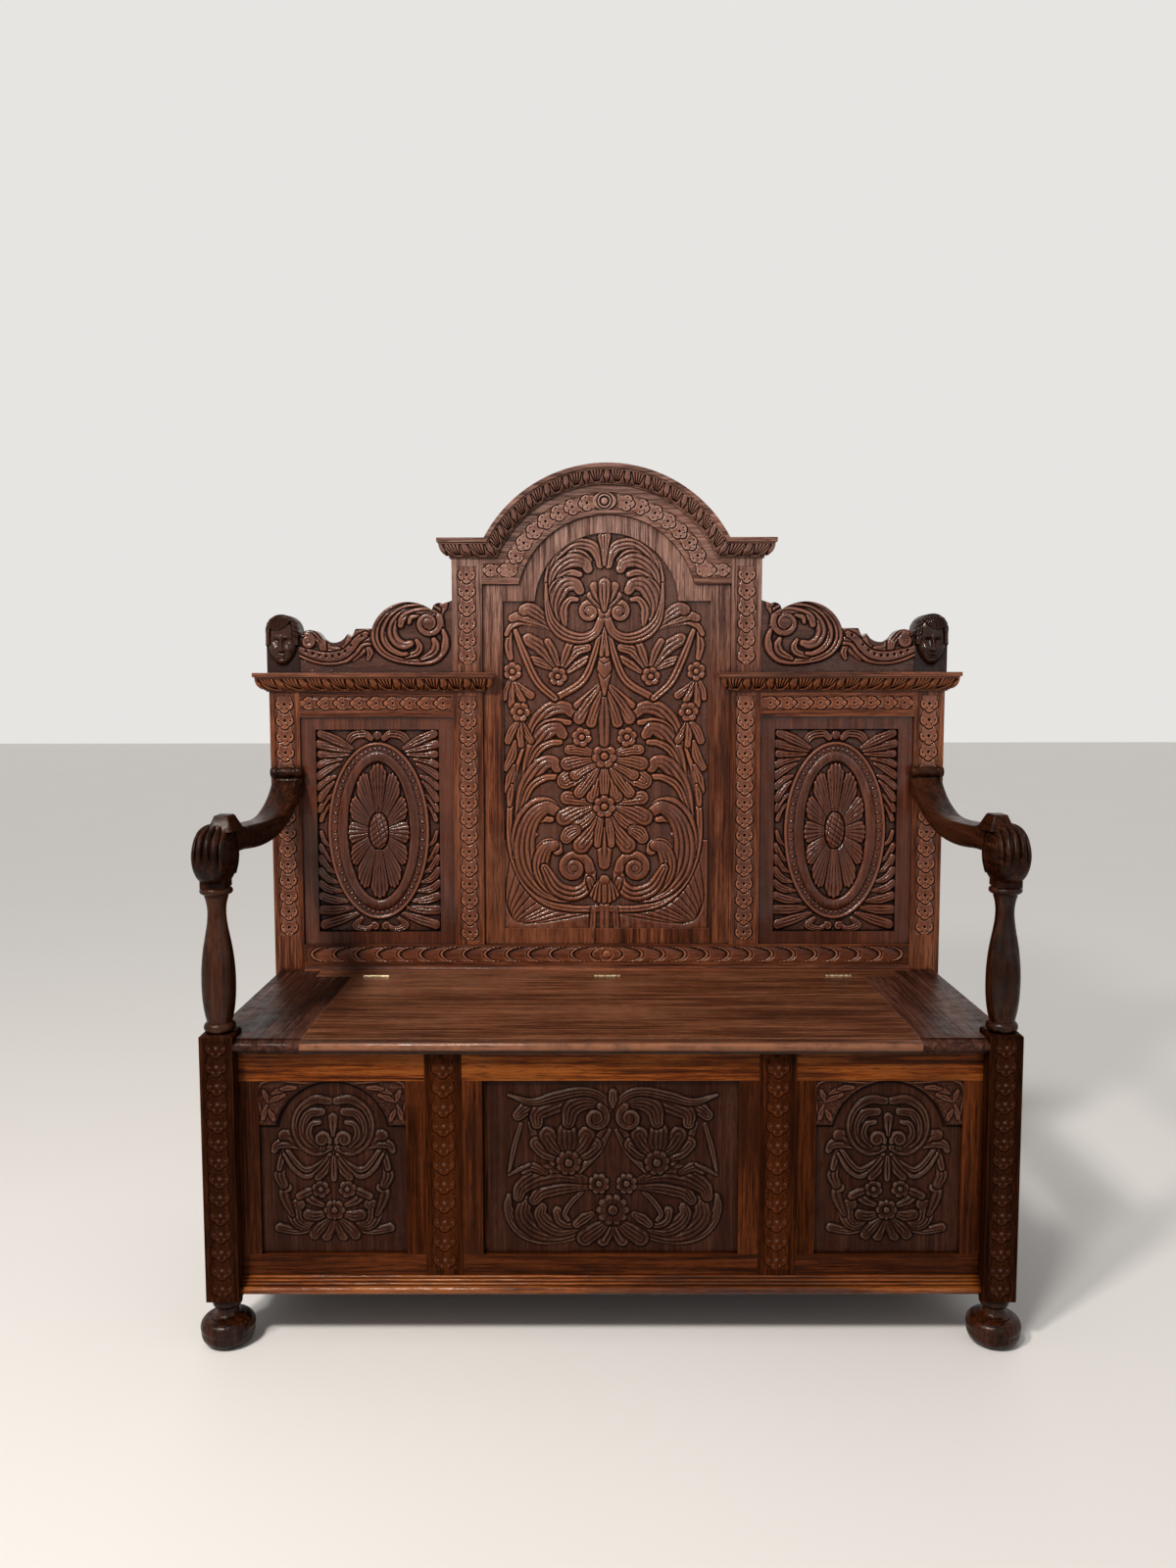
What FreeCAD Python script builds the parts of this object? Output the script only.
import FreeCAD, Part
import math
import os

# Hall bench: a joined oak settle with a lidded chest under the seat, a carved panelled back with an
# arched head, turned arm posts and scrolled arms. Millimetres, +Z up, front towards -Y.
# The origin is on the floor, under the middle of the bench. Left is the side of negative X.

Vector = FreeCAD.Vector
ACROSS = Vector(1, 0, 0)
BACKWARD = Vector(0, 1, 0)
UPWARD = Vector(0, 0, 1)
LEFT = -1
RIGHT = 1
overrun = 40.0              # how far a cutting body runs past what it cuts
joint_line = 0.4            # open joint line round a panel in its frame

# Widths, from the centre line outwards
stile_inner = 245.0         # centre line to a stile of the middle bay
stile_width = 59.0
side_bay_width = 304.0
post_width = 59.0
leg_inset = 2.0             # the front legs stand this much inside the back posts
leg_side = 54.0

# Depths, from the front of the legs backwards
back_distance = 475.5       # front of the legs to the front of the back
post_depth = 50.0
frame_thickness = 32.0

# Heights of the chest and seat
base_moulding_bottom = 87.0
base_moulding_height = 26.7
seat_top = 519.5
seat_thickness = 27.0

# Heights of the back, each above the one before
back_rail_height = 51.5
side_panel_height = 457.0
frieze_height = 50.0
upper_bay_height = 223.0    # top of a lower cornice to the underside of the arch cornice

# Arched head of the back
arch_opening_radius = 178.0
arch_rail_width = 56.5
shoulder_rail_depth = 50.0
arch_spring_rise = 43.0     # centre of the arch up to the square shoulders of the opening

# Joints of the frames
back_rail_depth_below_seat = 52.0
tenon_length = 22.0
tenon_thickness = 10.0
tenon_shoulder = 6.0

# Cornices
cornice_height = 37.0
cornice_reach = 26.0
cornice_board = 8.5
cornice_fillet_reach = 4.0
cornice_fillet_height = 5.0
cornice_band_foot = 6.0
cornice_band_reach = 19.0
cornice_band_bulge = 3.0
cornice_cove_height = 3.5

# Carved bands sunk in the frame members
band_sink = 2.5
stile_band_margin = 11.0
stile_band_end_margin = 8.0
post_band_margin = 10.5
post_band_foot = 19.0
band_end_margin = 3.0
frieze_band_lower_margin = 13.0
frieze_band_upper_margin = 9.0
upper_band_end_margin = 16.0
arch_band_inner_margin = 8.0
arch_band_outer_margin = 15.0
shoulder_band_lower_margin = 13.0
shoulder_band_upper_margin = 10.0
rail_band_lower_margin = 15.5
rail_band_upper_margin = 5.0
rail_boss_margin = 0.5
rail_cove = 8.0

# Panels of the back
panel_setback = 6.0
panel_thickness = 20.0
panel_tongue = 8.0
panel_tongue_thickness = 8.0
ground_sink = 7.0
centre_ground_side_margin = 40.0
centre_ground_foot_margin = 31.5
centre_ground_shoulder_margin = 33.0
centre_ground_head_margin = 35.5
oval_ground_side_margin = 29.5
oval_ground_foot_margin = 25.0
oval_side_margin = 21.5
oval_end_margin = 25.5
oval_ring_width = 37.0
oval_ring_groove = 9.0
oval_boss_half_width = 17.0
oval_boss_half_height = 37.0
oval_boss_height = 9.0
oval_rosette_width_share = 0.72
oval_rosette_height_share = 0.865
oval_rosette_height = 3.0

# Crests beside the arched head
crest_thickness = 26.0
crest_setback = 3.0
crest_height = 143.0
crest_relief = 7.0
crest_disc_radius_share = 0.405
crest_disc_ring_share = 0.17
crest_disc_side_share = 0.70
crest_disc_height_share = 0.56
crest_volute_radius_share = 0.077
crest_volute_side_share = 0.79
crest_volute_height_share = 0.69

# Heads on the back posts
head_height = 114.0
head_depth = 44.0
head_overhang = 2.5
head_shoulder_share = 0.745
face_half_width = 27.0
face_half_height = 48.0
face_centre_height = 66.0
face_setback = 6.0

# Seat
lid_margin = 39.0           # lid edge to the inner face of a front leg
clamp_width = 69.0
lid_gap = 0.5
hinge_setback = 54.5        # hinge line to the front of the back
side_board_inset = 10.0
nose_depth = 16.0
nose_step = 3.0
nose_round = 9.0
nose_recess = 6.0
clamp_tongue = 14.0
clamp_tongue_thickness = 9.0
strip_tongue = 8.0
strip_tongue_thickness = 9.0

# Hinges
hinge_inset = 49.0          # middle of an outer hinge to the end of the lid's board
hinge_length = 50.0
knuckle_radius = 3.5
knuckle_clearance = 0.6
knuckle_side_gap = 0.3
pin_radius = 1.5
pin_clearance = 0.05
leaf_thickness = 1.8
leaf_height = 20.0

# Front legs
leg_proud = 8.5
leg_chamfer = 3.0
leg_band_margin = 8.0
leg_band_top_margin = 5.0
leg_band_bottom_margin = 8.0
leg_band_sink = 1.5

# Bun feet, heights each above the one before
bun_height = 48.0
bun_neck_rise = 8.0
bun_neck_height = 6.0
bun_torus_height = 14.0
bun_cap_height = 4.0
bun_radius = 43.0
bun_flat_radius = 25.0
bun_ring_radius = 27.0
bun_ring_depth = 1.5
bun_neck_radius = 17.5
bun_torus_radius = 24.0
dowel_radius = 12.0
dowel_length = 28.0

# Turned arm posts
baluster_height = 238.0
baluster_base_radius = 25.5
baluster_base_height = 17.0
baluster_foot_radius = 20.0
baluster_bulge_radius = 27.0
baluster_bulge_height_share = 0.294
baluster_waist_radius = 22.0
baluster_waist_height_share = 0.609
baluster_neck_radius = 16.5
baluster_neck_height_share = 0.899
baluster_bead_radius = 19.0
baluster_bead_height = 4.0
baluster_collar_radius = 26.3
baluster_collar_height = 11.0
baluster_dowel_radius = 9.0
baluster_dowel_length = 18.0

# Arms
arm_pad_height = 3.0
arm_pad_side = 40.0
arm_hand_radius = 50.0
arm_hand_half_width = 29.5
arm_hand_end_radius = 36.0
arm_hand_shift = 0.3        # middle of the hand, outwards from the middle of the leg
arm_post_shift = 5.0        # middle of the arm at the post, inwards from the middle of the post
arm_drop = 12.0             # lowest point of the arm below the middle of the hand
arm_rise = 104.0
arm_width_at_post = 60.0
arm_width_at_hand = 54.0
arm_edge_round = 11.0
arm_flutes = 5
arm_flute_crest_share = 0.4    # flat crest of each flute, of its width
arm_flute_depth = 3.0
arm_button_radius = 15.0
arm_button_height = 2.0
arm_roll_radius = 11.0
arm_roll_rise = 8.0         # middle of the roll above the top of the arm's rise
arm_roll_half_length = 31.0
arm_roll_groove = 1.8
arm_block_inset = 12.3      # middle of the hand to the middle of the block on it, inwards
arm_block_base_width = 45.0
arm_block_top_width = 24.0
arm_block_base_depth = 62.0
arm_block_top_depth = 36.0
arm_block_sink = 12.0       # foot of the block below the top of the hand
arm_block_height = 24.0
arm_block_back_shift = 12.0

# Chest front
front_setback = 27.0
front_thickness = 22.0
muntin_width = 60.0
top_rail_height = 48.5
bottom_rail_height = 34.8
side_stile_width = 32.0
centre_stile_width = 34.0
front_panel_setback = 8.0
front_panel_thickness = 10.0
front_tongue = 7.0
arch_head_height = 75.0
arch_head_side_margin = 27.5
arch_head_setback = 2.0
arch_head_thickness = 6.0
muntin_band_margin = 10.0
muntin_proud = 1.5

# Chest body
base_moulding_front = 9.0
base_moulding_back = 65.0
base_nose_radius = 6.5
base_reed_count = 3
base_reed_step = 3.2
end_thickness = 18.0
end_setback = 17.0
board_foot_rise = 8.0
groove_depth = 7.0
floor_thickness = 14.0
chest_back_setback = 5.0
chest_back_thickness = 16.0

# Worked-out places across the bench
stile_outer = stile_inner + stile_width
post_inner = stile_outer + side_bay_width
post_outer = post_inner + post_width
leg_outer = post_outer - leg_inset
leg_inner = leg_outer - leg_side
leg_centre = leg_outer - leg_side / 2
muntin_outer = stile_inner + muntin_width
lid_half_width = leg_inner - lid_margin
lid_board_half_width = lid_half_width - clamp_width
side_board_inner = lid_half_width + lid_gap + lid_gap
side_board_outer = leg_outer - side_board_inset
end_outer_face = leg_outer - end_setback
end_inner_face = end_outer_face - end_thickness

# Worked-out depths: the box of the bench is centred, from the front of the hands to the back of the posts
hand_overhang = arm_hand_radius - leg_side / 2
leg_front = (hand_overhang - back_distance - post_depth) / 2
leg_middle = leg_front + leg_side / 2
front_face = leg_front + front_setback
front_back = front_face + front_thickness
back_face = leg_front + back_distance
frame_back = back_face + frame_thickness
post_back = back_face + post_depth
chest_back_front = back_face + chest_back_setback
hinge_y = back_face - hinge_setback

# Worked-out heights
front_rail_foot = base_moulding_bottom + base_moulding_height
front_opening_bottom = front_rail_foot + bottom_rail_height
seat_under = seat_top - seat_thickness
front_opening_top = seat_under - top_rail_height
board_foot = base_moulding_bottom + board_foot_rise
rail_foot = seat_top - back_rail_depth_below_seat
bun_neck_foot = bun_height + bun_neck_rise
bun_torus_foot = bun_neck_foot + bun_neck_height
bun_torus_top = bun_torus_foot + bun_torus_height
leg_bottom = bun_torus_top + bun_cap_height
leg_top = seat_top + leg_proud
baluster_top = leg_top + baluster_height
arm_hand_centre_height = baluster_top + arm_pad_height + arm_hand_radius
arm_low = arm_hand_centre_height - arm_drop
back_rail_top = seat_top + back_rail_height
frieze_bottom = back_rail_top + side_panel_height
lower_cornice_under = frieze_bottom + frieze_height
lower_cornice_top = lower_cornice_under + cornice_height
frieze_band_bottom = frieze_bottom + frieze_band_lower_margin
frieze_band_top = lower_cornice_under - frieze_band_upper_margin
arch_cornice_under = lower_cornice_top + upper_bay_height
arch_shoulder = arch_cornice_under - shoulder_rail_depth
arch_centre = arch_shoulder - arch_spring_rise
arch_cornice_radius = arch_opening_radius + arch_rail_width
cornice_board_under = cornice_height - cornice_board

pieces = {}


def block(x_low, x_high, y_low, y_high, z_low, z_high):
    """Rectangular block between two corners."""
    low = Vector(x_low, y_low, z_low)
    return Part.makeBox(x_high - x_low, y_high - y_low, z_high - z_low, low)


def outline(start, steps):
    """Closed wire: each step is a point for a straight side, or (via, end) for an arc."""
    edges = []
    here = start
    for step in steps:
        if isinstance(step, tuple):
            via, end = step
            edges.append(Part.Arc(here, via, end).toShape())
        else:
            end = step
            edges.append(Part.LineSegment(here, end).toShape())
        here = end
    edges.append(Part.LineSegment(here, start).toShape())
    return Part.Wire(edges)


def prism(wire, direction):
    """Solid made by pushing a flat closed wire along a direction."""
    return Part.Face(wire).extrude(direction)


def turned(start, steps, origin, axis):
    """Solid of revolution of a half profile about an axis."""
    full_turn = 360
    return Part.Face(outline(start, steps)).revolve(origin, axis, full_turn)


def mirrored(shape):
    """The same piece on the other side of the bench."""
    return shape.mirror(Vector(), ACROSS)


def pair(name, right_shape):
    """Store a right-hand piece and its mirror image on the left."""
    pieces[name + "_right"] = right_shape
    pieces[name + "_left"] = mirrored(right_shape)


def joined(first, *others):
    """Fuse shapes into one clean solid."""
    return first.multiFuse(list(others)).removeSplitter()


def round_headed(half_width, bottom, shoulder, radius, y_front, thickness):
    """Upright board with square shoulders and a round head, centred on the bench."""
    half_chord = math.sqrt(radius ** 2 - (shoulder - arch_centre) ** 2)
    start = Vector(-half_width, y_front, bottom)
    steps = [
        Vector(half_width, y_front, bottom),
        Vector(half_width, y_front, shoulder),
        Vector(half_chord, y_front, shoulder),
        (Vector(0, y_front, arch_centre + radius), Vector(-half_chord, y_front, shoulder)),
        Vector(-half_width, y_front, shoulder),
    ]
    return prism(outline(start, steps), BACKWARD * thickness)


def tenon(x_start, direction, y_middle, z_low, z_high):
    """Tenon that runs sideways from a shoulder at x_start."""
    x_end = x_start + direction * tenon_length
    y_low = y_middle - tenon_thickness / 2
    return block(min(x_start, x_end), max(x_start, x_end),
                 y_low, y_low + tenon_thickness, z_low, z_high)


def cornice_face(corner, outward, up, behind, extra):
    """Section of the cornice from its lower inner corner, running on upwards by extra."""
    def at(reach, height):
        return corner + outward * reach + up * height

    band_foot_height = cornice_fillet_height
    band_top_height = cornice_board_under - cornice_cove_height
    band_middle_reach = (cornice_band_foot + cornice_band_reach) / 2 + cornice_band_bulge
    band_middle_height = (band_foot_height + band_top_height) / 2
    cove_middle_reach = (cornice_band_reach + cornice_reach) / 2
    steps = [
        at(cornice_fillet_reach, 0),
        at(cornice_fillet_reach, band_foot_height),
        at(cornice_band_foot, band_foot_height),
        (at(band_middle_reach, band_middle_height), at(cornice_band_reach, band_top_height)),
        at(cove_middle_reach, band_top_height),
        at(cove_middle_reach, cornice_board_under),
        at(cornice_reach, cornice_board_under),
        at(cornice_reach, cornice_height + extra),
        at(-behind, cornice_height + extra),
    ]
    return outline(at(-behind, 0), steps)


def end_to_end(x_low, x_high, under, extra):
    """Both returned ends of a cornice as one section, pushed from front to back."""
    y_start = back_face - cornice_reach - overrun
    run = BACKWARD * (cornice_reach + post_depth + overrun + overrun)
    middle = (x_low + x_high) / 2
    reach_in = middle - x_low
    low_end = prism(cornice_face(Vector(x_low, y_start, under), ACROSS * LEFT, UPWARD, reach_in, extra), run)
    high_end = prism(cornice_face(Vector(x_high, y_start, under), ACROSS, UPWARD, reach_in, extra), run)
    return joined(low_end, high_end)


def straight_cornice(x_low, x_high, under, behind, extra):
    """Cornice moulding between two mitred returned ends."""
    corner = Vector(x_low - overrun, back_face, under)
    length = x_high - x_low + overrun + overrun
    along = prism(cornice_face(corner, BACKWARD * LEFT, UPWARD, behind, extra), ACROSS * length)
    return along.common(end_to_end(x_low, x_high, under, extra))


def make_back_posts():
    """Square posts that run from the floor to the lower cornice, with a carved band above the seat."""
    top = lower_cornice_under + cornice_board_under
    post = block(post_inner, post_outer, back_face, post_back, 0, top)
    band = block(post_inner + post_band_margin, post_outer - post_band_margin,
                 back_face - overrun, back_face + band_sink, back_rail_top + post_band_foot, frieze_band_top)
    pair("back_post", post.cut(band))


def make_inner_stiles():
    """Stiles of the middle bay, with a carved band below and above the lower cornice."""
    top = arch_cornice_under + cornice_board_under
    stile = block(stile_inner, stile_outer, back_face, frame_back, back_rail_top, top)
    band_inner = stile_inner + stile_band_margin
    band_outer = stile_outer - stile_band_margin
    lower_band = block(band_inner, band_outer, back_face - overrun, back_face + band_sink,
                       back_rail_top + stile_band_end_margin, frieze_band_top)
    upper_band = block(band_inner, band_outer, back_face - overrun, back_face + band_sink,
                       lower_cornice_top + upper_band_end_margin, arch_cornice_under - upper_band_end_margin)
    foot = block(stile_inner + tenon_shoulder, stile_outer - tenon_shoulder,
                 back_face + frame_thickness / 2 - tenon_thickness / 2,
                 back_face + frame_thickness / 2 + tenon_thickness / 2,
                 back_rail_top - tenon_length, back_rail_top)
    pair("inner_stile", joined(stile.cut(lower_band).cut(upper_band), foot))


def make_frieze_rails():
    """Rails over the oval panels."""
    top = lower_cornice_under + cornice_board_under
    rail = block(stile_outer, post_inner, back_face, frame_back, frieze_bottom, top)
    band = block(stile_outer + band_end_margin, post_inner - band_end_margin,
                 back_face - overrun, back_face + band_sink, frieze_band_bottom, frieze_band_top)
    y_middle = back_face + frame_thickness / 2
    low = frieze_bottom + tenon_length
    high = top - tenon_shoulder
    inner = tenon(stile_outer, LEFT, y_middle, low, high)
    outer = tenon(post_inner, RIGHT, y_middle, low, high)
    pair("frieze_rail", joined(rail.cut(band), inner, outer))


def make_arch_rail():
    """Arched top rail between the inner stiles, with its carved band following the opening."""
    shoulder = arch_cornice_under + cornice_board_under
    radius = arch_cornice_radius + cornice_board_under
    rail = round_headed(stile_inner, arch_shoulder, shoulder, radius, back_face, frame_thickness)
    opening = Part.makeCylinder(arch_opening_radius, frame_thickness + overrun + overrun,
                                Vector(0, back_face - overrun, arch_centre), BACKWARD)
    outer_radius = arch_cornice_radius - arch_band_outer_margin
    inner_radius = arch_opening_radius + arch_band_inner_margin
    band_top = arch_cornice_under - shoulder_band_upper_margin
    band_bottom = arch_shoulder + shoulder_band_lower_margin
    half_width = stile_inner - band_end_margin
    band = round_headed(half_width, band_bottom, band_top, outer_radius, back_face - overrun, overrun + band_sink)
    inside = Part.makeCylinder(inner_radius, overrun + overrun,
                               Vector(0, back_face - overrun, arch_centre), BACKWARD)
    y_middle = back_face + frame_thickness / 2
    right_tenon = tenon(stile_inner, RIGHT, y_middle, arch_shoulder + tenon_shoulder, arch_cornice_under)
    rail = rail.cut(opening).cut(band.cut(inside))
    pieces["arch_rail"] = joined(rail, right_tenon, mirrored(right_tenon))


def make_back_rail():
    """Bottom rail of the back: a cove runs down to the seat, and its foot hides behind the seat."""
    x_start = -post_inner
    cove_foot = back_face - rail_cove
    cove_top = seat_top + rail_cove
    arc_share = math.sqrt(1 / 2)
    start = Vector(x_start, frame_back, rail_foot)
    steps = [
        Vector(x_start, back_face, rail_foot),
        Vector(x_start, back_face, seat_top),
        Vector(x_start, cove_foot, seat_top),
        (Vector(x_start, cove_foot + rail_cove * arc_share, cove_top - rail_cove * arc_share),
         Vector(x_start, back_face, cove_top)),
        Vector(x_start, back_face, back_rail_top),
        Vector(x_start, frame_back, back_rail_top),
    ]
    rail = prism(outline(start, steps), ACROSS * (post_inner + post_inner))
    rail_band_bottom = seat_top + rail_band_lower_margin
    rail_band_top = back_rail_top - rail_band_upper_margin
    band = block(-post_inner + band_end_margin, post_inner - band_end_margin,
                 back_face - overrun, back_face + band_sink, rail_band_bottom, rail_band_top)
    boss_middle = (rail_band_top + rail_band_bottom) / 2
    boss_radius = boss_middle - rail_band_bottom - rail_boss_margin
    boss = Part.makeCylinder(boss_radius, band_sink, Vector(0, back_face, boss_middle), BACKWARD)
    y_middle = back_face + frame_thickness / 2
    right_tenon = tenon(post_inner, RIGHT, y_middle, rail_foot + tenon_shoulder, back_rail_top - tenon_shoulder)
    pieces["back_rail"] = joined(rail.cut(band), boss, right_tenon, mirrored(right_tenon))


def make_centre_panel():
    """Tall arched panel with a sunk ground for its carving; a tongue round it sits in the frame."""
    field = round_headed(stile_inner - joint_line, back_rail_top + joint_line, arch_shoulder - joint_line,
                         arch_opening_radius - joint_line, back_face + panel_setback, panel_thickness)
    tongue_front = back_face + panel_setback + (panel_thickness - panel_tongue_thickness) / 2
    tongue = round_headed(stile_inner + panel_tongue, back_rail_top - panel_tongue,
                          arch_shoulder + panel_tongue, arch_opening_radius + panel_tongue,
                          tongue_front, panel_tongue_thickness)
    ground = round_headed(stile_inner - centre_ground_side_margin, back_rail_top + centre_ground_foot_margin,
                          arch_shoulder - centre_ground_shoulder_margin,
                          arch_opening_radius - centre_ground_head_margin,
                          back_face - overrun, overrun + panel_setback + ground_sink)
    pieces["centre_panel"] = joined(field, tongue).cut(ground)


def oval(centre, half_width, half_height, thickness):
    """Upright oval slab, standing towards the front from the given centre."""
    ring = Part.Ellipse(centre + UPWARD * half_height, centre + ACROSS * half_width, centre)
    return prism(Part.Wire([ring.toShape()]), BACKWARD * LEFT * thickness)


def make_oval_panels():
    """Side panels of the back: sunk ground, beaded oval frame and a domed boss in the middle."""
    front = back_face + panel_setback
    field = block(stile_outer + joint_line, post_inner - joint_line, front, front + panel_thickness,
                  back_rail_top + joint_line, frieze_bottom - joint_line)
    tongue_front = front + (panel_thickness - panel_tongue_thickness) / 2
    tongue = block(stile_outer - panel_tongue, post_inner + panel_tongue,
                   tongue_front, tongue_front + panel_tongue_thickness,
                   back_rail_top - panel_tongue, frieze_bottom + panel_tongue)
    ground_half_width = side_bay_width / 2 - oval_ground_side_margin
    ground_half_height = side_panel_height / 2 - oval_ground_foot_margin
    centre = Vector((stile_outer + post_inner) / 2, front + ground_sink, (back_rail_top + frieze_bottom) / 2)
    ground = block(centre.x - ground_half_width, centre.x + ground_half_width,
                   front - overrun, front + ground_sink,
                   centre.z - ground_half_height, centre.z + ground_half_height)
    outer_half_width = ground_half_width - oval_side_margin
    outer_half_height = ground_half_height - oval_end_margin
    groove_half_width = outer_half_width - oval_ring_groove
    groove_half_height = outer_half_height - oval_ring_groove
    inner_half_width = outer_half_width - oval_ring_width
    inner_half_height = outer_half_height - oval_ring_width
    lip_half_width = inner_half_width + oval_ring_groove
    lip_half_height = inner_half_height + oval_ring_groove
    ring = oval(centre, outer_half_width, outer_half_height, ground_sink)
    groove_floor = centre - BACKWARD * (ground_sink / 2)
    groove = oval(groove_floor, groove_half_width, groove_half_height, ground_sink)
    lip = oval(groove_floor, lip_half_width, lip_half_height, ground_sink / 2)
    well = oval(centre, inner_half_width, inner_half_height, ground_sink + overrun)
    ring = ring.cut(groove).fuse(lip).cut(well)
    rosette = oval(centre, inner_half_width * oval_rosette_width_share,
                   inner_half_height * oval_rosette_height_share, oval_rosette_height)
    boss = Part.makeSphere(1)
    shape_boss = FreeCAD.Matrix()
    shape_boss.scale(oval_boss_half_width, oval_boss_height, oval_boss_half_height)
    boss = boss.transformGeometry(shape_boss)
    boss.translate(centre)
    front_half = block(stile_outer, post_inner, front - overrun, front + ground_sink,
                       back_rail_top, frieze_bottom)
    boss = boss.common(front_half)
    panel = joined(field, tongue).cut(ground)
    pair("oval_panel", joined(panel, ring, rosette, boss))


def make_arch_cornice():
    """Moulded cornice that runs level, rises over the arch and returns at both ends."""
    extra = arch_cornice_radius
    level = straight_cornice(-stile_outer, stile_outer, arch_cornice_under, post_depth, extra)
    arch_corner = Vector(0, back_face, arch_centre + arch_cornice_radius)
    section = cornice_face(arch_corner, BACKWARD * LEFT, UPWARD, post_depth, extra)
    full_turn = 360
    arch = Part.Face(section).revolve(Vector(0, 0, arch_centre), BACKWARD, full_turn)
    y_start = back_face - cornice_reach - overrun
    depth = cornice_reach + overrun + frame_thickness
    head = round_headed(stile_outer + cornice_reach + overrun, arch_centre,
                        arch_cornice_under + cornice_height, arch_cornice_radius + cornice_height,
                        y_start, depth)
    frame_head = round_headed(stile_outer, arch_centre, arch_cornice_under + cornice_board_under,
                              arch_cornice_radius + cornice_board_under, back_face, frame_thickness)
    pieces["arch_cornice"] = level.common(arch).common(head).cut(frame_head)


def make_lower_cornices():
    """Short cornices over the side bays: the top board caps the rail and the post."""
    cornice = straight_cornice(stile_inner, post_outer, lower_cornice_under, post_depth, 0)
    top = lower_cornice_under + cornice_board_under
    past_top = lower_cornice_top + overrun
    frame_behind = block(stile_inner - overrun, post_outer, back_face, post_back + overrun,
                         lower_cornice_under - overrun, top)
    stile_behind = block(stile_inner - overrun, stile_outer, back_face, post_back + overrun,
                         lower_cornice_under - overrun, past_top)
    rail_behind = block(stile_outer, post_inner, frame_back, post_back + overrun,
                        lower_cornice_under - overrun, past_top)
    pair("lower_cornice", cornice.cut(frame_behind).cut(stile_behind).cut(rail_behind))


def make_crests():
    """Scroll-topped crests between the heads and the middle bay.

    Outline points are shares of the crest's length, from the head inwards, and of its height.
    """
    head_side = post_inner - head_overhang
    length = head_side - stile_outer
    front = back_face + crest_setback

    def at(side_share, height_share):
        return Vector(head_side - side_share * length, front, lower_cornice_top + height_share * crest_height)

    foot_share = at(0, 0)
    curl_foot = at(0, 0.50)
    curl_top = at(0.06, 0.585)
    curl_fall = at(0.14, 0.52)
    valley = at(0.22, 0.415)
    leaf_foot = at(0.30, 0.49)
    leaf_tip = at(0.315, 0.535)
    leaf_back = at(0.343, 0.48)
    step_foot = at(0.368, 0.605)
    step_end = at(0.475, 0.605)
    disc_top = at(0.705, 0.968)
    disc_end = at(0.873, 0.848)
    bud_top = at(0.905, 0.955)
    bud_end = at(0.94, 0.94)
    stile_top = at(1, 0.99)
    stile_foot = at(1, 0)
    steps = [
        curl_foot,
        (curl_top, curl_fall),
        (valley, leaf_foot),
        leaf_tip,
        leaf_back,
        step_foot,
        step_end,
        (disc_top, disc_end),
        (bud_top, bud_end),
        stile_top,
        stile_foot,
    ]
    board = prism(outline(foot_share, steps), BACKWARD * crest_thickness)
    disc_centre = at(crest_disc_side_share, crest_disc_height_share)
    volute_centre = at(crest_volute_side_share, crest_volute_height_share)
    forward = BACKWARD * LEFT
    disc_radius = crest_disc_radius_share * crest_height
    ring_width = crest_disc_ring_share * crest_height
    disc = Part.makeCylinder(disc_radius, crest_relief, disc_centre, forward)
    hollow_radius = disc_radius - ring_width
    hollow_centre = disc_centre + ACROSS * LEFT * (ring_width / 2)
    hollow = Part.makeCylinder(hollow_radius, crest_relief, hollow_centre, forward)
    volute_radius = crest_volute_radius_share * crest_height
    volute = Part.makeCylinder(volute_radius, crest_relief, volute_centre, forward)
    pair("crest", joined(board, disc.cut(hollow), volute))


def make_post_heads():
    """Carved head blocks that stand on the lower cornice over the posts: a plain mask on a round top."""
    x_low = post_inner - head_overhang
    x_high = post_outer + head_overhang
    middle = (x_low + x_high) / 2
    base = lower_cornice_top
    shoulder = base + head_height * head_shoulder_share
    start = Vector(x_low, back_face, base)
    steps = [
        Vector(x_high, back_face, base),
        Vector(x_high, back_face, shoulder),
        (Vector(middle, back_face, base + head_height), Vector(x_low, back_face, shoulder)),
    ]
    block_shape = prism(outline(start, steps), BACKWARD * head_depth)
    egg = Part.makeSphere(1)
    shape_egg = FreeCAD.Matrix()
    shape_egg.scale(face_half_width, face_half_width, face_half_height)
    egg = egg.transformGeometry(shape_egg)
    egg.translate(Vector(middle, back_face + face_setback, base + face_centre_height))
    pair("post_head", joined(block_shape, egg))


def seat_section(x_start, y_back):
    """Section of a seat board, front to back: a stepped, rounded nose under the flat top."""
    nose_under = seat_under + nose_recess
    step_z = seat_top - nose_step
    round_middle = (step_z + nose_under) / 2
    start = Vector(x_start, leg_front + nose_depth, seat_top)
    steps = [
        Vector(x_start, leg_front + nose_depth, step_z),
        Vector(x_start, leg_front + nose_round, step_z),
        (Vector(x_start, leg_front, round_middle), Vector(x_start, leg_front + nose_round, nose_under)),
        Vector(x_start, leg_front + nose_depth, nose_under),
        Vector(x_start, leg_front + nose_depth, seat_under),
        Vector(x_start, y_back, seat_under),
        Vector(x_start, y_back, seat_top),
    ]
    return outline(start, steps)


def hinge_places():
    """Middles of the three hinges along the hinge line."""
    outer = lid_board_half_width - hinge_inset
    return [-outer, 0, outer]


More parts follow.
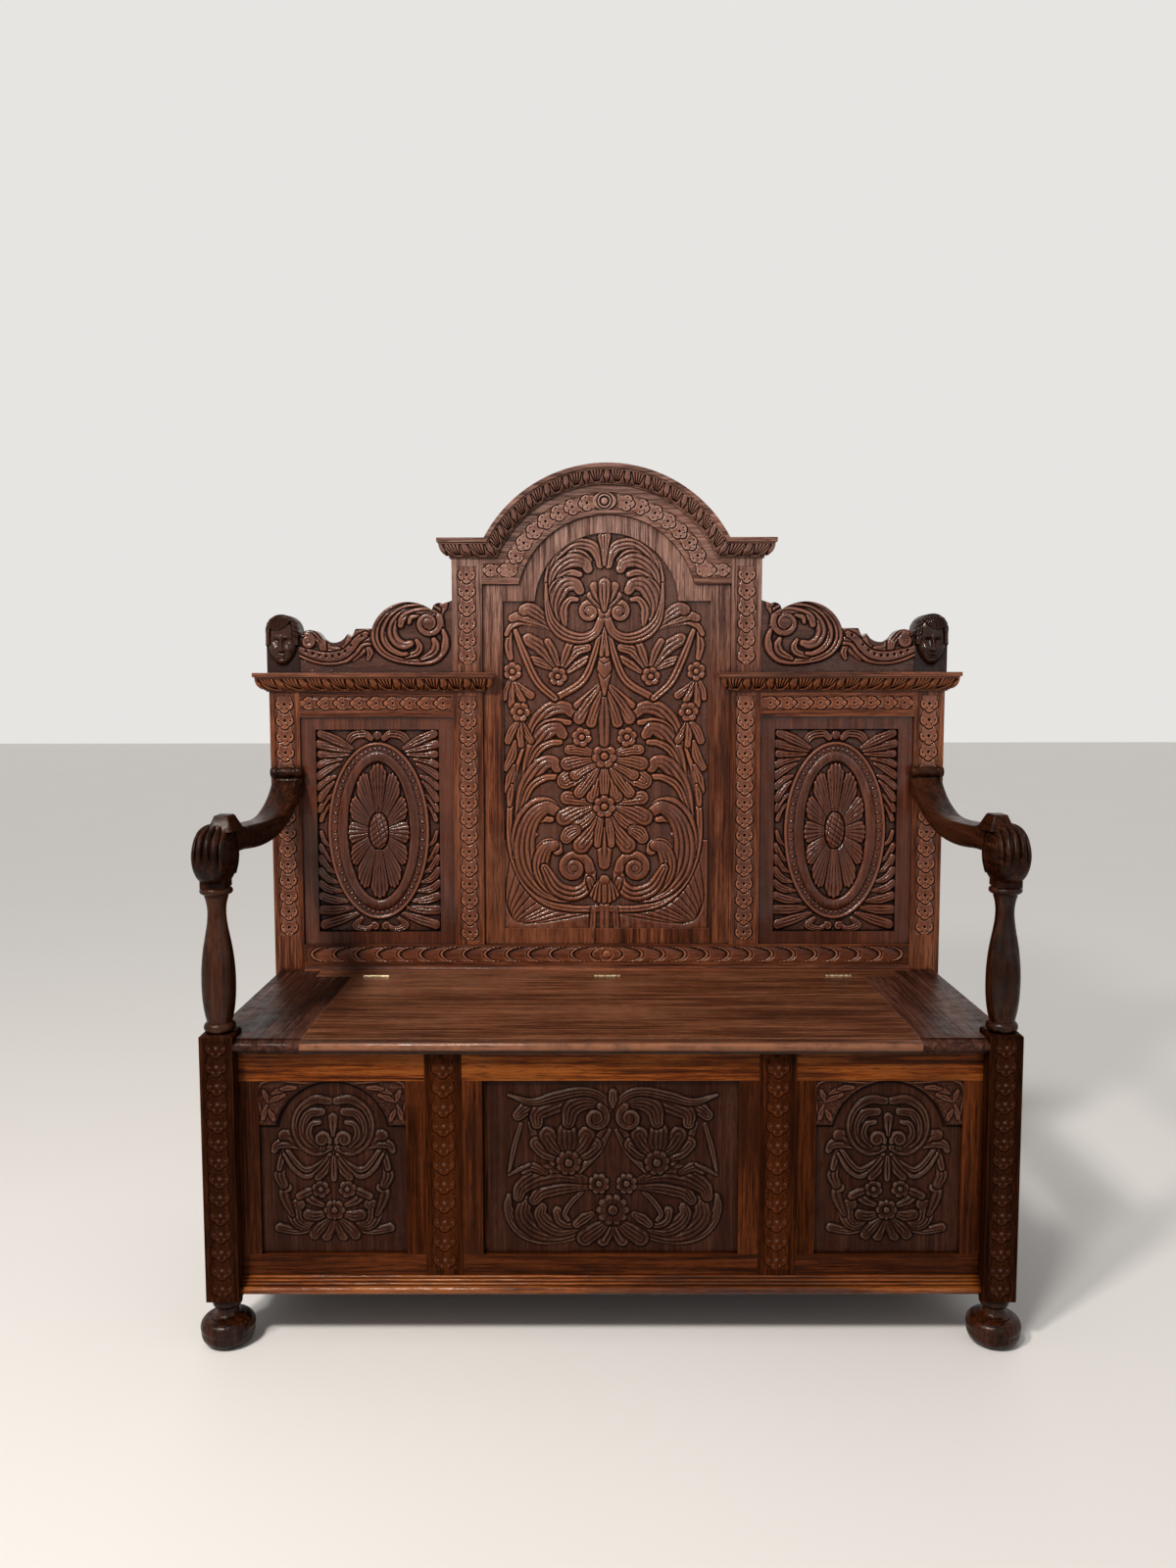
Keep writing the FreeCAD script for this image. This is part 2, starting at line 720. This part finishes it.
def hinge_pocket(side):
    """Room in the lid (side LEFT, towards the front) or the strip (side RIGHT) for the hinges."""
    pockets = []
    for x_middle in hinge_places():
        x_low = x_middle - hinge_length / 2
        trough_low = x_low - knuckle_side_gap
        trough_length = hinge_length + knuckle_side_gap + knuckle_side_gap
        pockets.append(Part.makeCylinder(knuckle_radius + knuckle_clearance, trough_length,
                                         Vector(trough_low, hinge_y, seat_top), ACROSS))
        near = hinge_y + side * lid_gap
        far = near + side * leaf_thickness
        pockets.append(block(x_low, x_low + hinge_length, min(near, far), max(near, far),
                             seat_top - leaf_height, seat_top))
    return pockets


def make_seat():
    """Lidded seat: a board between two clamps, fixed side boards and the strip behind the hinges."""
    lid_back = hinge_y - lid_gap
    strip_front = hinge_y + lid_gap
    tongue_low = (seat_top + seat_under) / 2 - clamp_tongue_thickness / 2
    tongue_front = leg_front + nose_depth + clamp_tongue
    board = prism(seat_section(-lid_board_half_width, lid_back),
                  ACROSS * (lid_board_half_width + lid_board_half_width))
    tongue = block(-lid_board_half_width - clamp_tongue, lid_board_half_width + clamp_tongue,
                   tongue_front, lid_back - clamp_tongue, tongue_low, tongue_low + clamp_tongue_thickness)
    board = joined(board, tongue)
    clamp = prism(seat_section(lid_board_half_width, lid_back),
                  ACROSS * (lid_half_width - lid_board_half_width))
    for pocket in hinge_pocket(LEFT):
        board = board.cut(pocket)
        clamp = clamp.cut(pocket)
    pieces["lid_board"] = board
    pair("lid_clamp", clamp.cut(board))

    side_board = prism(seat_section(side_board_inner, back_face), ACROSS * (side_board_outer - side_board_inner))
    leg_notch = block(leg_inner, side_board_outer + overrun, leg_front - overrun, leg_front + leg_side,
                      seat_under - overrun, seat_top + overrun)
    pair("seat_side", side_board.cut(leg_notch))

    strip = block(-side_board_inner, side_board_inner, strip_front, back_face, seat_under, seat_top)
    strip_tongue_low = (seat_top + seat_under) / 2 - strip_tongue_thickness / 2
    tongue = block(-side_board_inner, side_board_inner, back_face, back_face + strip_tongue,
                   strip_tongue_low, strip_tongue_low + strip_tongue_thickness)
    strip = joined(strip, tongue)
    for pocket in hinge_pocket(RIGHT):
        strip = strip.cut(pocket)
    pieces["seat_back_strip"] = strip


def barrel(x_low, x_high):
    """Hollow knuckle on the hinge line."""
    start = Vector(x_low, hinge_y, seat_top)
    outer = Part.makeCylinder(knuckle_radius, x_high - x_low, start, ACROSS)
    bore = Part.makeCylinder(pin_radius + pin_clearance, x_high - x_low, start, ACROSS)
    return outer.cut(bore)


def hinge_leaf(x_middle, side, barrels):
    """Leaf let into one edge of the joint, joined to its knuckles."""
    x_low = x_middle - hinge_length / 2
    near = hinge_y + side * lid_gap
    far = near + side * leaf_thickness
    plate = block(x_low, x_low + hinge_length, min(near, far), max(near, far),
                  seat_top - leaf_height, seat_top)
    room = Part.makeCylinder(knuckle_radius + knuckle_clearance, hinge_length,
                             Vector(x_low, hinge_y, seat_top), ACROSS)
    leaf = plate.cut(room)
    for start, end in barrels:
        web = block(start, end, min(near, far), max(near, far), seat_top - knuckle_radius - knuckle_clearance
                    - leaf_thickness, seat_top)
        bore = Part.makeCylinder(pin_radius + pin_clearance, end - start,
                                 Vector(start, hinge_y, seat_top), ACROSS)
        leaf = joined(leaf, barrel(start, end), web.cut(bore))
    return leaf


def make_hinges():
    """Three butt hinges: two outer knuckles on the strip, one in the middle on the lid, and a pin."""
    fixed_leaves = []
    lid_leaves = []
    pins = []
    for x_middle in hinge_places():
        x_low = x_middle - hinge_length / 2
        third = hinge_length / 3
        lid_low = x_low + third
        lid_high = lid_low + third
        outer_pair = [(x_low, lid_low - knuckle_side_gap), (lid_high + knuckle_side_gap, x_low + hinge_length)]
        fixed_leaves.append(hinge_leaf(x_middle, RIGHT, outer_pair))
        lid_leaves.append(hinge_leaf(x_middle, LEFT, [(lid_low, lid_high)]))
        pins.append(Part.makeCylinder(pin_radius, hinge_length, Vector(x_low, hinge_y, seat_top), ACROSS))
    pieces["hinge_fixed_leaves"] = Part.makeCompound(fixed_leaves)
    pieces["hinge_lid_leaves"] = Part.makeCompound(lid_leaves)
    pieces["hinge_pins"] = Part.makeCompound(pins)


def make_front_legs():
    """Square front legs with a chamfered top and a low carved band."""
    leg = block(leg_inner, leg_outer, leg_front, leg_front + leg_side, leg_bottom, leg_top)
    top_edges = [edge for edge in leg.Edges if edge.BoundBox.ZMin > leg_top - leg_chamfer]
    leg = leg.makeChamfer(leg_chamfer, top_edges)
    band = block(leg_inner + leg_band_margin, leg_outer - leg_band_margin,
                 leg_front - overrun, leg_front + leg_band_sink,
                 leg_bottom + leg_band_bottom_margin, leg_top - leg_chamfer - leg_band_top_margin)
    pair("front_leg", leg.cut(band))


def make_bun_feet():
    """Turned bun feet with a dowel up into the leg."""
    centre = Vector(leg_centre, leg_middle, 0)

    def at(radius, height):
        return centre + ACROSS * radius + UPWARD * height

    bun_middle = bun_height / 2
    ring_step = bun_ring_depth
    torus_middle = (bun_torus_foot + bun_torus_top) / 2
    cove_radius = (bun_ring_radius + bun_neck_radius) / 2 - ring_step
    cove_height = (bun_height + bun_neck_foot) / 2 - ring_step
    shoulder_radius = (bun_radius + bun_ring_radius) / 2 + ring_step + ring_step + ring_step
    shoulder_height = bun_height - ring_step - ring_step - ring_step - ring_step
    steps = [
        at(bun_flat_radius, 0),
        (at(bun_radius - ring_step, bun_middle / 2), at(bun_radius, bun_middle)),
        (at(shoulder_radius, shoulder_height), at(bun_ring_radius + ring_step, bun_height - ring_step)),
        at(bun_ring_radius, bun_height - ring_step),
        at(bun_ring_radius, bun_height),
        (at(cove_radius, cove_height), at(bun_neck_radius, bun_neck_foot)),
        at(bun_neck_radius, bun_torus_foot),
        (at(bun_torus_radius, torus_middle), at(bun_torus_radius - ring_step, bun_torus_top)),
        at(bun_torus_radius + ring_step, leg_bottom),
        at(dowel_radius, leg_bottom),
        at(dowel_radius, leg_bottom + dowel_length),
        at(0, leg_bottom + dowel_length),
    ]
    pair("bun_foot", turned(at(0, 0), steps, centre, UPWARD))


def make_balusters():
    """Turned vase-shaped arm posts with a ring at the foot and a collar under the hand."""
    foot = Vector(leg_centre, leg_middle, leg_top)

    def at(radius, height):
        return foot + ACROSS * radius + UPWARD * height

    collar_middle = baluster_height - baluster_collar_height / 2
    collar_foot = baluster_height - baluster_collar_height
    bead_foot = collar_foot - baluster_bead_height
    base_middle = baluster_base_height / 2
    vase = Part.BSplineCurve()
    vase.interpolate([
        at(baluster_foot_radius, baluster_base_height),
        at(baluster_bulge_radius, baluster_height * baluster_bulge_height_share),
        at(baluster_waist_radius, baluster_height * baluster_waist_height_share),
        at(baluster_neck_radius, baluster_height * baluster_neck_height_share),
        at(baluster_bead_radius, bead_foot),
    ])
    edges = [
        Part.LineSegment(at(0, -baluster_dowel_length), at(baluster_dowel_radius, -baluster_dowel_length)),
        Part.LineSegment(at(baluster_dowel_radius, -baluster_dowel_length), at(baluster_dowel_radius, 0)),
        Part.LineSegment(at(baluster_dowel_radius, 0), at(baluster_foot_radius, 0)),
        Part.Arc(at(baluster_foot_radius, 0), at(baluster_base_radius, base_middle),
                 at(baluster_foot_radius, baluster_base_height)),
        vase,
        Part.LineSegment(at(baluster_bead_radius, bead_foot), at(baluster_bead_radius, collar_foot)),
        Part.Arc(at(baluster_bead_radius, collar_foot), at(baluster_collar_radius, collar_middle),
                 at(baluster_bead_radius, baluster_height)),
        Part.LineSegment(at(baluster_bead_radius, baluster_height), at(baluster_dowel_radius, baluster_height)),
        Part.LineSegment(at(baluster_dowel_radius, baluster_height),
                         at(baluster_dowel_radius, baluster_height + baluster_dowel_length)),
        Part.LineSegment(at(baluster_dowel_radius, baluster_height + baluster_dowel_length),
                         at(0, baluster_height + baluster_dowel_length)),
        Part.LineSegment(at(0, baluster_height + baluster_dowel_length), at(0, -baluster_dowel_length)),
    ]
    profile = Part.Wire([edge.toShape() for edge in edges])
    full_turn = 360
    pair("baluster", Part.Face(profile).revolve(foot, UPWARD, full_turn))


def arm_section(reach_share, low_share, high_share, width_share):
    """Rounded section of the arm in an upright plane across it.

    Shares: of the reach from hand to post, of the arm's rise, and of the widening towards the post.
    """
    reach = back_face - leg_middle
    y = leg_middle + reach_share * reach
    low = arm_low + low_share * arm_rise
    high = arm_low + high_share * arm_rise
    half = (arm_width_at_hand + width_share * (arm_width_at_post - arm_width_at_hand)) / 2
    hand_middle = leg_centre + arm_hand_shift
    post_middle = (post_inner + post_outer) / 2 - arm_post_shift
    middle = hand_middle + width_share * (post_middle - hand_middle)
    thinnest_share = 1 / 3
    round_in = min(arm_edge_round, (high - low) * thinnest_share)
    corner_in = round_in * (1 - math.sqrt(1 / 2))
    left = middle - half
    right = middle + half

    def at(x, z):
        return Vector(x, y, z)

    start = at(left + round_in, low)
    steps = [
        at(right - round_in, low),
        (at(right - corner_in, low + corner_in), at(right, low + round_in)),
        at(right, high - round_in),
        (at(right - corner_in, high - corner_in), at(right - round_in, high)),
        at(left + round_in, high),
        (at(left + corner_in, high - corner_in), at(left, high - round_in)),
        at(left, low + round_in),
    ]
    edges = []
    here = start
    for step in steps + [(at(left + corner_in, low + corner_in), start)]:
        if isinstance(step, tuple):
            edges.append(Part.Arc(here, step[0], step[1]).toShape())
            here = step[1]
        else:
            edges.append(Part.LineSegment(here, step).toShape())
            here = step
    return Part.Wire(edges)


def fluted_hand():
    """Scrolled hand of the arm: a barrel across the arm with raised flutes round it."""
    centre = Vector(leg_centre + arm_hand_shift, leg_middle, arm_hand_centre_height)
    flute_width = (arm_hand_half_width + arm_hand_half_width) / arm_flutes

    def at(side, radius):
        return centre + ACROSS * side + UPWARD * radius

    def barrel_radius(side):
        fall = abs(side) / arm_hand_half_width
        return arm_hand_radius - (arm_hand_radius - arm_hand_end_radius) * fall ** 3

    flute_flank = flute_width * (1 - arm_flute_crest_share) / 2
    start = at(-arm_hand_half_width, 0)
    steps = [at(-arm_hand_half_width, barrel_radius(arm_hand_half_width) - arm_flute_depth)]
    for count in range(arm_flutes):
        side_low = -arm_hand_half_width + count * flute_width
        side_high = side_low + flute_width
        crest_radius = barrel_radius((side_low + side_high) / 2)
        steps.append(at(side_low + flute_flank, crest_radius))
        steps.append(at(side_high - flute_flank, crest_radius))
        steps.append(at(side_high, barrel_radius(side_high) - arm_flute_depth))
    steps.append(at(arm_hand_half_width, 0))
    hand = turned(start, steps, centre, ACROSS)
    button_length = arm_hand_half_width + arm_hand_half_width + arm_button_height + arm_button_height
    button_start = centre - ACROSS * (button_length / 2)
    return hand.fuse(Part.makeCylinder(arm_button_radius, button_length, button_start, ACROSS))


def arm_block():
    """Faceted block carved on top of the hand, towards the seat."""
    middle = leg_centre + arm_hand_shift - arm_block_inset
    y_middle = leg_middle + arm_block_back_shift
    z_low = arm_hand_centre_height + arm_hand_radius - arm_block_sink
    wires = []
    sizes = [(arm_block_base_width, arm_block_base_depth, z_low),
             (arm_block_top_width, arm_block_top_depth, z_low + arm_block_height)]
    for width, depth, z in sizes:
        start = Vector(middle - width / 2, y_middle - depth / 2, z)
        wires.append(outline(start, [
            Vector(middle + width / 2, y_middle - depth / 2, z),
            Vector(middle + width / 2, y_middle + depth / 2, z),
            Vector(middle - width / 2, y_middle + depth / 2, z),
        ]))
    return Part.makeLoft(wires, True, True)


def arm_roll():
    """Bead-and-reel roll across the top of the arm where it meets the post."""
    middle = (post_inner + post_outer) / 2 - arm_post_shift
    centre = Vector(middle, back_face - arm_roll_radius, arm_low + arm_rise + arm_roll_rise)

    def at(side, radius):
        return centre + ACROSS * side + UPWARD * radius

    start = at(-arm_roll_half_length, 0)
    bead = arm_roll_half_length + arm_roll_half_length
    bead_shares = [0.25, 0.5, 0.25]
    steps = [at(-arm_roll_half_length, arm_roll_radius - arm_roll_groove)]
    side = -arm_roll_half_length
    for share in bead_shares:
        side_end = side + bead * share
        crest = at((side + side_end) / 2, arm_roll_radius)
        steps.append((crest, at(side_end, arm_roll_radius - arm_roll_groove)))
        side = side_end
    steps.append(at(arm_roll_half_length, 0))
    return turned(start, steps, centre, ACROSS)


def make_arms():
    """Scrolled arms: a swept shaft from the post, the fluted hand on its pad, the block and the roll."""
    station_shares = [
        (0.06, 0.11, 0.55, 0.0),
        (0.20, 0.067, 0.471, 0.0),
        (0.36, 0.01, 0.413, 0.1),
        (0.49, 0.0, 0.385, 0.25),
        (0.62, 0.04, 0.375, 0.4),
        (0.725, 0.135, 0.423, 0.55),
        (0.816, 0.279, 0.538, 0.7),
        (0.90, 0.43, 0.715, 0.85),
        (0.96, 0.525, 0.92, 0.95),
        (1.0, 0.615, 1.08, 1.0),
    ]
    shaft = Part.makeLoft([arm_section(*shares) for shares in station_shares], True, False)
    pad_middle = leg_centre + arm_hand_shift
    half_pad = arm_pad_side / 2
    pad = block(pad_middle - half_pad, pad_middle + half_pad, leg_middle - half_pad, leg_middle + half_pad,
                baluster_top, arm_hand_centre_height)
    arm = joined(shaft, fluted_hand(), pad, arm_block(), arm_roll())
    in_front = block(leg_inner - overrun, post_outer + overrun, leg_front - arm_hand_radius, back_face,
                     baluster_top, arm_low + arm_rise + overrun)
    pair("arm", arm.common(in_front))


def front_rail(x_low, x_high, z_low, z_high):
    """Rail of the chest front between two uprights, with a tenon at each end."""
    rail = block(x_low, x_high, front_face, front_back, z_low, z_high)
    y_middle = (front_face + front_back) / 2
    low = z_low + tenon_shoulder
    high = z_high - tenon_shoulder
    return joined(rail, tenon(x_low, LEFT, y_middle, low, high), tenon(x_high, RIGHT, y_middle, low, high))


def front_panel(x_low, x_high):
    """Panel of the chest front, tongued into its frame."""
    front = front_face + front_panel_setback
    field = block(x_low + joint_line, x_high - joint_line, front, front + front_panel_thickness,
                  front_opening_bottom + joint_line, front_opening_top - joint_line)
    y_back = front + front_panel_thickness
    tongue = block(x_low - front_tongue, x_high + front_tongue, y_back - front_tongue, y_back,
                   front_opening_bottom - front_tongue, front_opening_top + front_tongue)
    return joined(field, tongue)


def make_chest_front():
    """Three framed panels between the legs and two carved muntins."""
    muntin_front = front_face - muntin_proud
    muntin = block(stile_inner, muntin_outer, muntin_front, front_back, front_rail_foot, seat_under)
    band = block(stile_inner + muntin_band_margin, muntin_outer - muntin_band_margin,
                 muntin_front - overrun, muntin_front + leg_band_sink,
                 front_rail_foot + muntin_band_margin, seat_under - muntin_band_margin)
    pair("muntin", muntin.cut(band))

    pair("front_top_rail", front_rail(muntin_outer, leg_inner, front_opening_top, seat_under))
    pair("front_bottom_rail", front_rail(muntin_outer, leg_inner, front_rail_foot, front_opening_bottom))
    pieces["front_top_rail_centre"] = front_rail(-stile_inner, stile_inner, front_opening_top, seat_under)
    pieces["front_bottom_rail_centre"] = front_rail(-stile_inner, stile_inner, front_rail_foot,
                                                    front_opening_bottom)

    opening_low = muntin_outer + side_stile_width
    opening_high = leg_inner - side_stile_width
    pair("front_inner_stile", block(muntin_outer, opening_low, front_face, front_back,
                                    front_opening_bottom, front_opening_top))
    pair("front_outer_stile", block(opening_high, leg_inner, front_face, front_back,
                                    front_opening_bottom, front_opening_top))
    centre_opening = stile_inner - centre_stile_width
    pair("front_centre_stile", block(centre_opening, stile_inner, front_face, front_back,
                                     front_opening_bottom, front_opening_top))

    pair("front_panel", front_panel(opening_low, opening_high))
    pieces["front_panel_centre"] = front_panel(-centre_opening, centre_opening)

    springing = front_opening_top - arch_head_height
    arch_middle = (opening_low + opening_high) / 2
    y_front = front_face + arch_head_setback
    start = Vector(opening_low, y_front, springing)
    steps = [
        Vector(opening_low + arch_head_side_margin, y_front, springing),
        (Vector(arch_middle, y_front, front_opening_top - joint_line),
         Vector(opening_high - arch_head_side_margin, y_front, springing)),
        Vector(opening_high, y_front, springing),
        Vector(opening_high, y_front, front_opening_top),
        Vector(opening_low, y_front, front_opening_top),
    ]
    pair("arch_head", prism(outline(start, steps), BACKWARD * arch_head_thickness))


def make_base_moulding():
    """Moulding under the chest front: three reeds stepping out to a round nose."""
    x_start = -leg_inner
    nose_top = base_moulding_bottom + base_nose_radius + base_nose_radius
    nose_centre = leg_front + base_moulding_front + base_nose_radius
    reed_height = (front_rail_foot - nose_top) / base_reed_count
    y_back = leg_front + base_moulding_back

    def at(y, z):
        return Vector(x_start, y, z)

    start = at(y_back, base_moulding_bottom)
    steps = [
        at(nose_centre, base_moulding_bottom),
        (at(nose_centre - base_nose_radius, base_moulding_bottom + base_nose_radius), at(nose_centre, nose_top)),
    ]
    y = nose_centre + base_reed_step
    z = nose_top
    steps.append(at(y, z))
    for count in range(base_reed_count):
        bulge = at(y - reed_height / 2, z + reed_height / 2)
        steps.append((bulge, at(y, z + reed_height)))
        z += reed_height
        if count < base_reed_count - 1:
            y += base_reed_step
            steps.append(at(y, z))
    steps.append(at(y_back, z))
    pieces["base_moulding"] = prism(outline(start, steps), ACROSS * (leg_inner + leg_inner))


def make_chest_body():
    """Plain ends, back and floor of the chest."""
    end = block(end_inner_face, end_outer_face, leg_front + leg_side, back_face,
                board_foot, seat_under)
    end_tongue = block(end_inner_face + groove_depth / 2, end_outer_face - groove_depth / 2,
                       leg_front + leg_side - groove_depth, back_face + groove_depth,
                       board_foot + groove_depth, seat_under - groove_depth)
    pair("chest_end", joined(end, end_tongue))
    back = block(-post_inner - groove_depth, post_inner + groove_depth, chest_back_front,
                 chest_back_front + chest_back_thickness, board_foot, rail_foot)
    pieces["chest_back"] = back

    floor_low = front_rail_foot
    floor = block(-end_inner_face - groove_depth, end_inner_face + groove_depth,
                  front_back, chest_back_front + groove_depth, floor_low, floor_low + floor_thickness)
    for side in (LEFT, RIGHT):
        leg_low = min(side * leg_inner, side * leg_outer)
        leg_room = block(leg_low, leg_low + leg_side, leg_front, leg_front + leg_side,
                         floor_low - overrun, floor_low + overrun)
        post_low = min(side * post_inner, side * post_outer)
        post_room = block(post_low, post_low + post_width, back_face, post_back,
                          floor_low - overrun, floor_low + overrun)
        floor = floor.cut(leg_room).cut(post_room)
    pieces["chest_floor"] = floor


def seat_tenons_and_tongues():
    """Cut each mortise and groove with the piece that sits in it."""
    guests = {
        "back_post": ["frieze_rail", "back_rail", "oval_panel", "chest_end", "chest_back"],
        "inner_stile": ["frieze_rail", "arch_rail", "centre_panel", "oval_panel"],
        "frieze_rail": ["oval_panel"],
        "front_leg": ["bun_foot", "baluster", "front_top_rail", "front_bottom_rail", "chest_end",
                      "front_outer_stile"],
        "arm": ["baluster"],
        "muntin": ["front_top_rail", "front_bottom_rail", "front_top_rail_centre", "front_bottom_rail_centre"],
        "front_top_rail": ["front_panel"],
        "front_bottom_rail": ["front_panel"],
        "front_inner_stile": ["front_panel"],
        "front_outer_stile": ["front_panel"],
        "front_centre_stile": ["front_panel_centre"],
        "chest_end": ["chest_floor"],
    }
    middle_guests = {
        "arch_rail": ["centre_panel"],
        "back_rail": ["centre_panel", "oval_panel_left", "oval_panel_right", "inner_stile_left",
                      "inner_stile_right", "seat_back_strip"],
        "front_top_rail_centre": ["front_panel_centre"],
        "front_bottom_rail_centre": ["front_panel_centre"],
        "chest_back": ["chest_floor"],
    }
    for host, host_guests in middle_guests.items():
        for guest in host_guests:
            pieces[host] = pieces[host].cut(pieces[guest])
    for host, host_guests in guests.items():
        for side in ("_left", "_right"):
            for guest in host_guests:
                guest_name = guest if guest in pieces else guest + side
                pieces[host + side] = pieces[host + side].cut(pieces[guest_name])


def main():
    make_back_posts()
    make_inner_stiles()
    make_frieze_rails()
    make_arch_rail()
    make_back_rail()
    make_centre_panel()
    make_oval_panels()
    make_arch_cornice()
    make_lower_cornices()
    make_crests()
    make_post_heads()
    make_seat()
    make_hinges()
    make_front_legs()
    make_bun_feet()
    make_balusters()
    make_arms()
    make_chest_front()
    make_base_moulding()
    make_chest_body()
    seat_tenons_and_tongues()
    os.makedirs("parts", exist_ok=True)
    for name, shape in sorted(pieces.items()):
        solids = shape.Solids
        if not solids or not shape.isValid():
            raise ValueError("bad solid in " + name)
        kept = solids[0] if len(solids) == 1 else Part.makeCompound(solids)
        kept.exportStep("parts/" + name + ".step")
        print(name, len(solids), round(kept.Volume), len(kept.Faces))


main()
